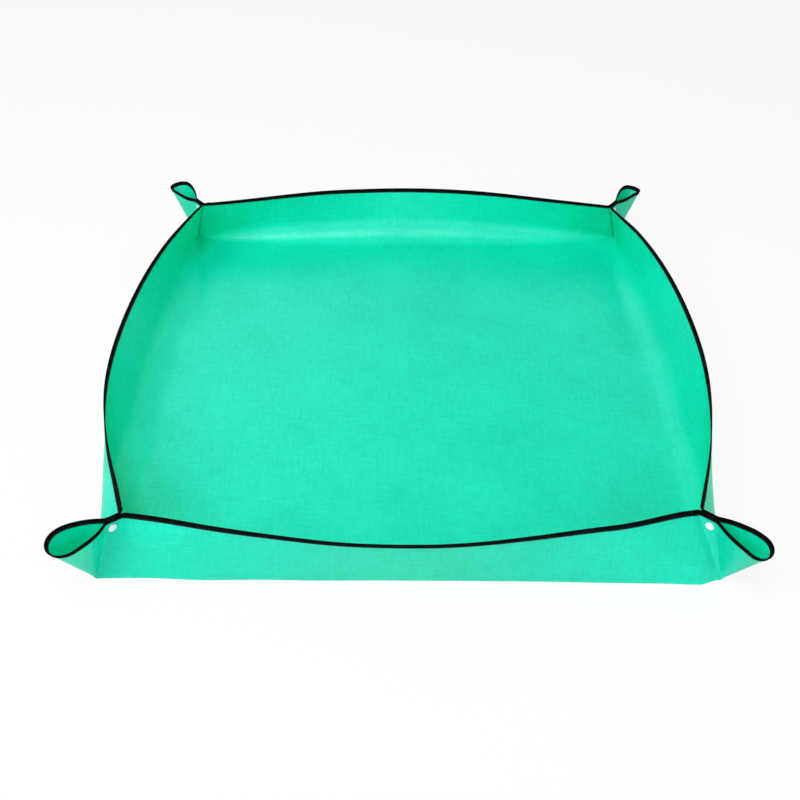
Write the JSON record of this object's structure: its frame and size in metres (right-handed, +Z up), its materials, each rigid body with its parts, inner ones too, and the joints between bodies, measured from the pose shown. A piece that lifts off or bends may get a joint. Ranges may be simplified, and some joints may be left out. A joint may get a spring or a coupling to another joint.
{
  "type": "repotting mat",
  "caption": "Square cloth mat with a taped edge, snapped up at its corners into a shallow tray for potting; opens out for cleaning and storage.",
  "frame": {"origin": "on the ground under the middle of the floor", "axes": "+Z up, +X to the right, -Y towards the front wall, which the picture shows nearest"},
  "size_m": [0.9078, 0.8956, 0.0966],
  "materials": {
    "cloth": "coated woven cloth, semi-gloss green",
    "binding": "matt black woven tape",
    "snap": "white moulded plastic"
  },
  "bodies": {
    "floor": {"floor_panel": "cloth"},
    "front_wall": {"wall_front": "cloth", "wall_binding_front": "binding"},
    "right_wall": {"wall_right": "cloth", "wall_binding_right": "binding"},
    "back_wall": {"wall_back": "cloth", "wall_binding_back": "binding"},
    "left_wall": {"wall_left": "cloth", "wall_binding_left": "binding"},
    "front_right_ear": {"ear_front_right": "cloth", "ear_binding_front_right": "binding", "snap_cap_front_right": "snap", "snap_socket_front_right": "snap"},
    "front_left_ear": {"ear_front_left": "cloth", "ear_binding_front_left": "binding", "snap_cap_front_left": "snap", "snap_socket_front_left": "snap"},
    "right_back_ear": {"ear_right_back": "cloth", "ear_binding_right_back": "binding", "snap_cap_right_back": "snap", "snap_stud_right_back": "snap"},
    "right_front_ear": {"ear_right_front": "cloth", "ear_binding_right_front": "binding", "snap_cap_right_front": "snap", "snap_stud_right_front": "snap"},
    "back_left_ear": {"ear_back_left": "cloth", "ear_binding_back_left": "binding", "snap_cap_back_left": "snap", "snap_socket_back_left": "snap"},
    "back_right_ear": {"ear_back_right": "cloth", "ear_binding_back_right": "binding", "snap_cap_back_right": "snap", "snap_socket_back_right": "snap"},
    "left_front_ear": {"ear_left_front": "cloth", "ear_binding_left_front": "binding", "snap_cap_left_front": "snap", "snap_stud_left_front": "snap"},
    "left_back_ear": {"ear_left_back": "cloth", "ear_binding_left_back": "binding", "snap_cap_left_back": "snap", "snap_stud_left_back": "snap"}
  },
  "joints": [
    {"name": "front_fold", "type": "hinge", "parent": "floor", "child": "front_wall", "pos_m": [0, -0.408, 0.00025], "axis": [1, 0, 0], "range_deg": [0, 58]},
    {"name": "right_fold", "type": "hinge", "parent": "floor", "child": "right_wall", "pos_m": [0.408, 0, 0.00025], "axis": [0, 1, 0], "range_deg": [0, 58]},
    {"name": "back_fold", "type": "hinge", "parent": "floor", "child": "back_wall", "pos_m": [0, 0.408, 0.00025], "axis": [-1, 0, 0], "range_deg": [0, 58]},
    {"name": "left_fold", "type": "hinge", "parent": "floor", "child": "left_wall", "pos_m": [-0.408, 0, 0.00025], "axis": [0, -1, 0], "range_deg": [0, 58]},
    {"name": "front_right_ear_fold", "type": "hinge", "parent": "front_wall", "child": "front_right_ear", "pos_m": [0.40538, -0.408, 0.00025], "axis": [-0.3758, 0.3758, 0.8471], "range_deg": [0, 37.5]},
    {"name": "front_left_ear_fold", "type": "hinge", "parent": "front_wall", "child": "front_left_ear", "pos_m": [-0.40538, -0.408, 0.00025], "axis": [-0.3995, -0.3995, -0.8251], "range_deg": [0, 37.8]},
    {"name": "right_back_ear_fold", "type": "hinge", "parent": "right_wall", "child": "right_back_ear", "pos_m": [0.408, 0.40538, 0.00025], "axis": [-0.3155, -0.3155, 0.8949], "range_deg": [0, 39.5]},
    {"name": "right_front_ear_fold", "type": "hinge", "parent": "right_wall", "child": "right_front_ear", "pos_m": [0.408, -0.40538, 0.00025], "axis": [0.3758, -0.3758, -0.8471], "range_deg": [0, 37.5]},
    {"name": "back_left_ear_fold", "type": "hinge", "parent": "back_wall", "child": "back_left_ear", "pos_m": [-0.40538, 0.408, 0.00025], "axis": [0.3055, -0.3055, 0.9018], "range_deg": [0, 39.5]},
    {"name": "back_right_ear_fold", "type": "hinge", "parent": "back_wall", "child": "back_right_ear", "pos_m": [0.40538, 0.408, 0.00025], "axis": [0.3155, 0.3155, -0.8949], "range_deg": [0, 39.5]},
    {"name": "left_front_ear_fold", "type": "hinge", "parent": "left_wall", "child": "left_front_ear", "pos_m": [-0.408, -0.40538, 0.00025], "axis": [0.3995, 0.3995, 0.8251], "range_deg": [0, 37.8]},
    {"name": "left_back_ear_fold", "type": "hinge", "parent": "left_wall", "child": "left_back_ear", "pos_m": [-0.408, 0.40538, 0.00025], "axis": [-0.3055, 0.3055, -0.9018], "range_deg": [0, 39.5]}
  ],
  "couplings": [
    {"joint": "right_fold", "follows": "front_fold", "ratio": 1},
    {"joint": "back_fold", "follows": "front_fold", "ratio": 1},
    {"joint": "left_fold", "follows": "front_fold", "ratio": 1},
    {"joint": "front_right_ear_fold", "follows": "front_fold", "ratio": 0.645},
    {"joint": "front_left_ear_fold", "follows": "front_fold", "ratio": 0.65},
    {"joint": "right_back_ear_fold", "follows": "front_fold", "ratio": 0.68},
    {"joint": "right_front_ear_fold", "follows": "front_fold", "ratio": 0.645},
    {"joint": "back_left_ear_fold", "follows": "front_fold", "ratio": 0.68},
    {"joint": "back_right_ear_fold", "follows": "front_fold", "ratio": 0.68},
    {"joint": "left_front_ear_fold", "follows": "front_fold", "ratio": 0.65},
    {"joint": "left_back_ear_fold", "follows": "front_fold", "ratio": 0.68}
  ]
}
